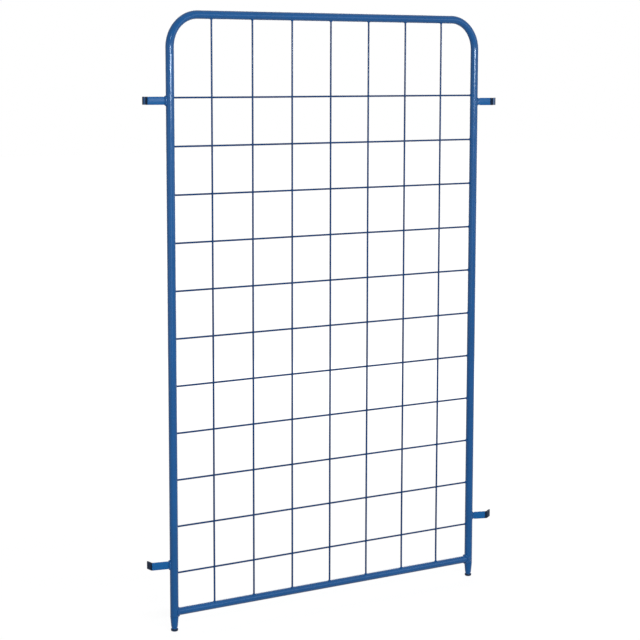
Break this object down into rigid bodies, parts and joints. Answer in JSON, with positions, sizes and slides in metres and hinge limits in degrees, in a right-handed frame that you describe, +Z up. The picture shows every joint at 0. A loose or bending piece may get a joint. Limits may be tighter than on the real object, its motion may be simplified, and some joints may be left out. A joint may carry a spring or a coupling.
{
  "type": "wire mesh panel",
  "caption": "Upright wire mesh panel in a bent round tube frame, with flat-bar side brackets and turned foot spigots, for screening off an area.",
  "frame": {"origin": "midway between the lowest points of the two feet, in the plane of the mesh", "axes": "+Z up, X along the panel, +Y through the panel toward its back; the upright wires are on the -Y side and the left brackets are at -X"},
  "size_m": [1.3602, 0.0688, 1.9555],
  "materials": {
    "frame_paint": "glossy blue powder coat with slight orange peel over steel tube",
    "wire_paint": "glossy blue powder coat over drawn steel wire",
    "bracket_paint": "glossy blue powder coat over flat steel bar, thin at the edges",
    "foot_paint": "blue powder coat over a turned steel foot, scuffed at the bead"
  },
  "bodies": {
    "root": {"bent_frame_tube": "frame_paint", "bottom_rail": "frame_paint", "vertical_wire_1": "wire_paint", "vertical_wire_2": "wire_paint", "vertical_wire_3": "wire_paint", "vertical_wire_4": "wire_paint", "vertical_wire_5": "wire_paint", "vertical_wire_6": "wire_paint", "vertical_wire_7": "wire_paint", "horizontal_wire_01": "wire_paint", "horizontal_wire_02": "wire_paint", "horizontal_wire_03": "wire_paint", "horizontal_wire_04": "wire_paint", "horizontal_wire_05": "wire_paint", "horizontal_wire_06": "wire_paint", "horizontal_wire_07": "wire_paint", "horizontal_wire_08": "wire_paint", "horizontal_wire_09": "wire_paint", "horizontal_wire_10": "wire_paint", "horizontal_wire_11": "wire_paint", "upper_left_bracket": "bracket_paint", "lower_left_bracket": "bracket_paint", "upper_right_bracket": "bracket_paint", "lower_right_bracket": "bracket_paint", "left_foot_spigot": "foot_paint", "right_foot_spigot": "foot_paint"}
  },
  "joints": []
}
